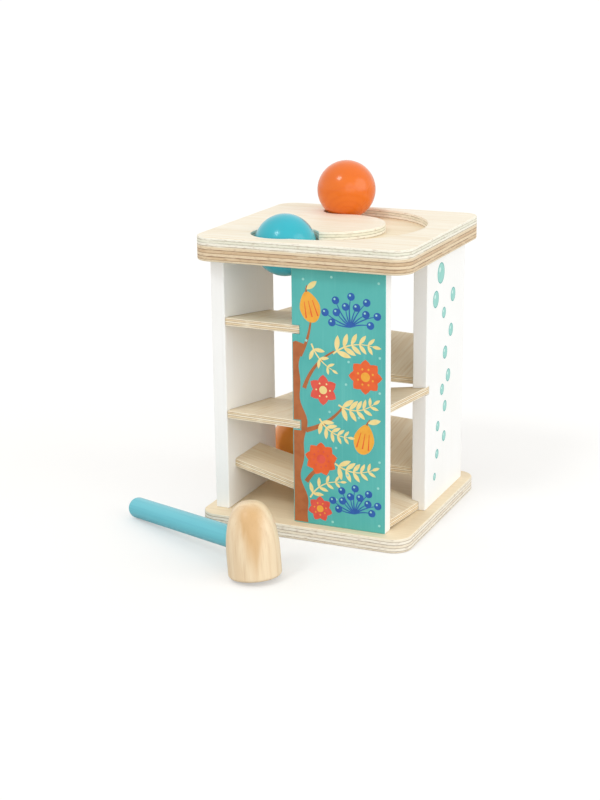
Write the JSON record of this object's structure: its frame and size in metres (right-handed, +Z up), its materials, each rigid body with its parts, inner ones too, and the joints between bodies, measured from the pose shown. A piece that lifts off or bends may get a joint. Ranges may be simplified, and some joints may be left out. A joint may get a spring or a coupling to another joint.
{
  "type": "ball pounding bench",
  "caption": "Wooden ball pounding tower: square base and top, pinwheel panels, sloping planks in a spiral, exit ramp, painted balls and a loose hammer.",
  "frame": {"origin": "centre of the base board's underside, on the floor", "axes": "+Z up, -Y the printed front panel, +X the side the exit ramp runs down to"},
  "size_m": [0.2255, 0.2648, 0.2638],
  "materials": {
    "ply_board": "satin lacquered birch plywood",
    "plank_ply": "satin birch plywood",
    "white_paint": "satin white paint on plywood",
    "printed_panel": "satin printed turquoise face with white edges",
    "turquoise_paint": "gloss paint",
    "orange_paint": "gloss paint",
    "amber_paint": "gloss paint",
    "head_wood": "satin clear lacquer on solid wood",
    "handle_paint": "satin paint",
    "rubber_ring": "matt",
    "screw_steel": "zinc plated",
    "dowel_wood": "bare wood"
  },
  "bodies": {
    "tower": {"base_board": "ply_board", "lower_top_board": "ply_board", "upper_top_board": "ply_board", "hole_ring": "rubber_ring", "left_wall": "white_paint", "back_panel": "white_paint", "right_wall": "white_paint", "front_panel": "printed_panel", "left_plank_1": "plank_ply", "back_plank_1": "plank_ply", "right_plank_1": "plank_ply", "front_plank_1": "plank_ply", "left_plank_2": "plank_ply", "back_plank_2": "plank_ply", "right_plank_2": "plank_ply", "exit_ramp": "plank_ply", "base_screw_1": "screw_steel", "base_screw_2": "screw_steel", "base_screw_3": "screw_steel", "base_screw_4": "screw_steel", "base_screw_5": "screw_steel", "base_screw_6": "screw_steel", "base_screw_7": "screw_steel", "base_screw_8": "screw_steel", "top_dowel_1": "dowel_wood", "top_dowel_2": "dowel_wood", "top_dowel_3": "dowel_wood", "top_dowel_4": "dowel_wood", "top_dowel_5": "dowel_wood", "top_dowel_6": "dowel_wood", "top_dowel_7": "dowel_wood", "top_dowel_8": "dowel_wood"},
    "turquoise_ball": {"turquoise_ball": "turquoise_paint"},
    "orange_ball": {"orange_ball": "orange_paint"},
    "amber_ball": {"amber_ball": "amber_paint"},
    "hammer": {"hammer_head": "head_wood", "hammer_handle": "handle_paint"}
  },
  "joints": [
    {"name": "turquoise_ball_drop", "type": "slide", "parent": "tower", "child": "turquoise_ball", "axis": [0, 0, 1], "range_m": [-0.0325, 0.045]},
    {"name": "orange_ball_roll", "type": "hinge", "parent": "tower", "child": "orange_ball", "pos_m": [-0.009, 0.0045, 0.224], "axis": [0, 0, 1], "range_deg": [-156, 0]},
    {"name": "amber_ball_roll", "type": "slide", "parent": "tower", "child": "amber_ball", "axis": [1, 0, 0], "range_m": [-0.028, 0.034]},
    {"name": "hammer_lift", "type": "slide", "parent": "tower", "child": "hammer", "axis": [0, 0, 1], "range_m": [0, 0.15]}
  ]
}
